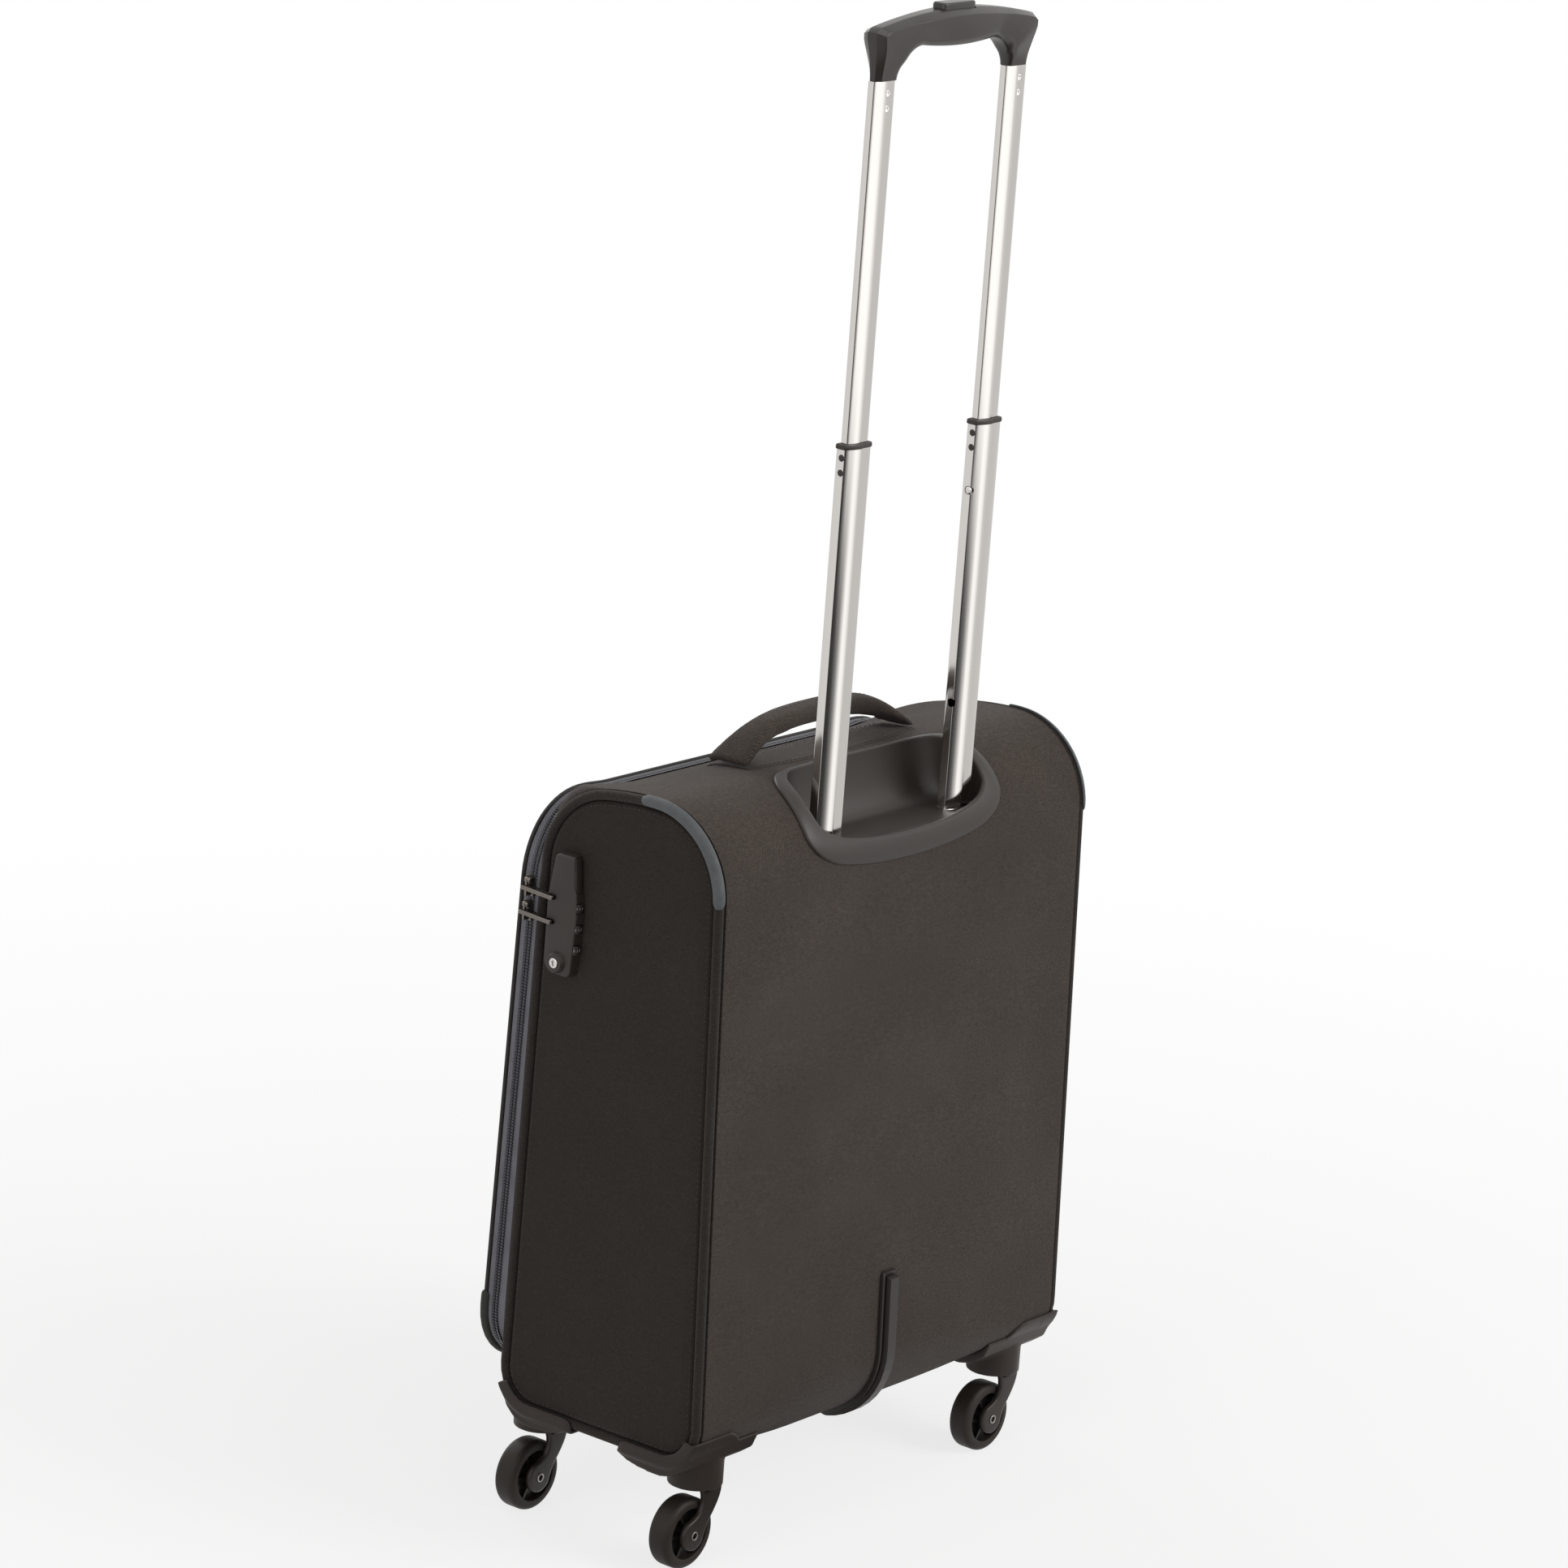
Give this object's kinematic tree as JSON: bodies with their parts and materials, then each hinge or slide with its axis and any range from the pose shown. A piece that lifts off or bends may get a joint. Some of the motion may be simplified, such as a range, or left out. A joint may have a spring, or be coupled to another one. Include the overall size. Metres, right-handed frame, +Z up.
{
  "type": "softside upright suitcase",
  "caption": "Fabric cabin suitcase with a zipped front lid, side combination lock, telescoping trolley handle with push button, padded carry handle and swivel casters.",
  "frame": {"origin": "on the floor under the middle of the case's width, where the casters stand", "axes": "+Z up along the trolley tubes, +Y towards the back with the trolley handle, +X towards the side with the lock"},
  "size_m": [0.4103, 0.2151, 1.047],
  "materials": {
    "dark_fabric": "fine twill",
    "side_fabric": "fine twill",
    "piping_fabric": "woven piping",
    "zip_tape": "woven tape with nylon coil",
    "grey_trim": "grained",
    "lining": "plain weave",
    "black_plastic": "satin",
    "tyre_rubber": "matte",
    "aluminium": "polished",
    "bright_steel": "plated",
    "gunmetal": "dark plated"
  },
  "bodies": {
    "case": {"body_shell": "dark_fabric", "side_panel_right": "side_fabric", "side_panel_left": "side_fabric", "side_piping_right": "piping_fabric", "side_piping_left": "piping_fabric", "corner_strip_right": "grey_trim", "corner_strip_left": "grey_trim", "back_liner": "lining", "handle_cup": "black_plastic", "tube_sleeve_right": "aluminium", "tube_sleeve_left": "aluminium", "sleeve_bracket": "black_plastic", "carry_handle": "dark_fabric", "skid_rail": "black_plastic", "hinge_gusset": "piping_fabric", "zip_tape_body": "zip_tape", "zip_slider_upper": "gunmetal", "zip_slider_lower": "gunmetal", "lock_case": "black_plastic", "foot_front_right": "black_plastic", "foot_front_left": "black_plastic", "foot_rear_right": "black_plastic", "foot_rear_left": "black_plastic"},
    "lid": {"lid_panel": "dark_fabric", "lid_piping": "piping_fabric", "lid_guard_right": "grey_trim", "lid_guard_left": "grey_trim", "zip_tape_lid": "zip_tape", "front_pocket": "dark_fabric"},
    "pocket_slider": {"pocket_slider": "gunmetal"},
    "puller_upper": {"zip_puller_upper": "gunmetal"},
    "puller_lower": {"zip_puller_lower": "gunmetal"},
    "dial_upper": {"lock_dial_upper": "black_plastic"},
    "dial_middle": {"lock_dial_middle": "black_plastic"},
    "dial_lower": {"lock_dial_lower": "black_plastic"},
    "key_plug": {"lock_key_plug": "bright_steel"},
    "lock_release": {"lock_release": "black_plastic"},
    "lower_stage": {"lower_tube_right": "aluminium", "lower_tube_left": "aluminium", "tube_collar_right": "black_plastic", "tube_collar_left": "black_plastic"},
    "pin_right": {"lock_pin_right": "bright_steel"},
    "pin_left": {"lock_pin_left": "bright_steel"},
    "upper_stage": {"upper_tube_right": "aluminium", "upper_tube_left": "aluminium", "grip": "black_plastic"},
    "release": {"release_button": "black_plastic", "release_yoke": "bright_steel"},
    "caster_front_right": {"fork_front_right": "black_plastic", "axle_front_right": "bright_steel"},
    "caster_front_left": {"fork_front_left": "black_plastic", "axle_front_left": "bright_steel"},
    "caster_rear_right": {"fork_rear_right": "black_plastic", "axle_rear_right": "bright_steel"},
    "caster_rear_left": {"fork_rear_left": "black_plastic", "axle_rear_left": "bright_steel"},
    "wheel_front_right": {"wheel_front_right": "tyre_rubber"},
    "wheel_front_left": {"wheel_front_left": "tyre_rubber"},
    "wheel_rear_right": {"wheel_rear_right": "tyre_rubber"},
    "wheel_rear_left": {"wheel_rear_left": "tyre_rubber"}
  },
  "joints": [
    {"name": "lid_hinge", "type": "hinge", "parent": "case", "child": "lid", "pos_m": [0, -0.08331, 0.1013], "axis": [1, 0, 0], "range_deg": [0, 100]},
    {"name": "pocket_zip", "type": "slide", "parent": "lid", "child": "pocket_slider", "axis": [-1, 0, 0], "range_m": [0, 0.24]},
    {"name": "puller_upper_swing", "type": "hinge", "parent": "case", "child": "puller_upper", "pos_m": [0.2035, -0.07209, 0.446], "axis": [0, 0, -1], "range_deg": [0, 70]},
    {"name": "puller_lower_swing", "type": "hinge", "parent": "case", "child": "puller_lower", "pos_m": [0.2035, -0.07265, 0.429], "axis": [0, 0, -1], "range_deg": [0, 70]},
    {"name": "dial_upper_turn", "type": "hinge", "parent": "case", "child": "dial_upper", "pos_m": [0.20258, -0.02709, 0.442], "axis": [0, 0, 1], "continuous": true},
    {"name": "dial_middle_turn", "type": "hinge", "parent": "case", "child": "dial_middle", "pos_m": [0.20258, -0.02709, 0.4275], "axis": [0, 0, 1], "continuous": true},
    {"name": "dial_lower_turn", "type": "hinge", "parent": "case", "child": "dial_lower", "pos_m": [0.20258, -0.02709, 0.413], "axis": [0, 0, 1], "continuous": true},
    {"name": "key_turn", "type": "hinge", "parent": "case", "child": "key_plug", "pos_m": [0.2078, -0.0395, 0.402], "axis": [1, 0, 0], "range_deg": [0, 90]},
    {"name": "lock_release_press", "type": "slide", "parent": "case", "child": "lock_release", "axis": [-1, 0, 0], "range_m": [0, 0.0015], "stiffness_N_per_m": 300},
    {"name": "lower_stage_slide", "type": "slide", "parent": "case", "child": "lower_stage", "axis": [0, 0, 1], "range_m": [-0.262, 0]},
    {"name": "upper_stage_slide", "type": "slide", "parent": "lower_stage", "child": "upper_stage", "axis": [0, 0, 1], "range_m": [-0.235, 0]},
    {"name": "button_press", "type": "slide", "parent": "upper_stage", "child": "release", "axis": [0, 0, -1], "range_m": [0, 0.004], "stiffness_N_per_m": 1500},
    {"name": "pin_right_draw", "type": "slide", "parent": "lower_stage", "child": "pin_right", "axis": [1, 0, 0], "range_m": [0, 0.0014]},
    {"name": "pin_left_draw", "type": "slide", "parent": "lower_stage", "child": "pin_left", "axis": [-1, 0, 0], "range_m": [0, 0.0014]},
    {"name": "swivel_front_right", "type": "hinge", "parent": "case", "child": "caster_front_right", "pos_m": [0.1654, -0.061, 0.057], "axis": [0, 0, 1], "continuous": true},
    {"name": "swivel_front_left", "type": "hinge", "parent": "case", "child": "caster_front_left", "pos_m": [-0.1654, -0.061, 0.057], "axis": [0, 0, 1], "continuous": true},
    {"name": "swivel_rear_right", "type": "hinge", "parent": "case", "child": "caster_rear_right", "pos_m": [0.1654, 0.077, 0.057], "axis": [0, 0, 1], "continuous": true},
    {"name": "swivel_rear_left", "type": "hinge", "parent": "case", "child": "caster_rear_left", "pos_m": [-0.1654, 0.077, 0.057], "axis": [0, 0, 1], "continuous": true},
    {"name": "roll_front_right", "type": "hinge", "parent": "caster_front_right", "child": "wheel_front_right", "pos_m": [0.1776, -0.061, 0.02499], "axis": [0, 1, 0], "continuous": true},
    {"name": "roll_front_left", "type": "hinge", "parent": "caster_front_left", "child": "wheel_front_left", "pos_m": [-0.1532, -0.061, 0.02499], "axis": [0, 1, 0], "continuous": true},
    {"name": "roll_rear_right", "type": "hinge", "parent": "caster_rear_right", "child": "wheel_rear_right", "pos_m": [0.1776, 0.077, 0.02499], "axis": [0, 1, 0], "continuous": true},
    {"name": "roll_rear_left", "type": "hinge", "parent": "caster_rear_left", "child": "wheel_rear_left", "pos_m": [-0.1532, 0.077, 0.02499], "axis": [0, 1, 0], "continuous": true}
  ],
  "couplings": [
    {"joint": "pin_right_draw", "follows": "button_press", "ratio": 0.35},
    {"joint": "pin_left_draw", "follows": "button_press", "ratio": 0.35}
  ]
}
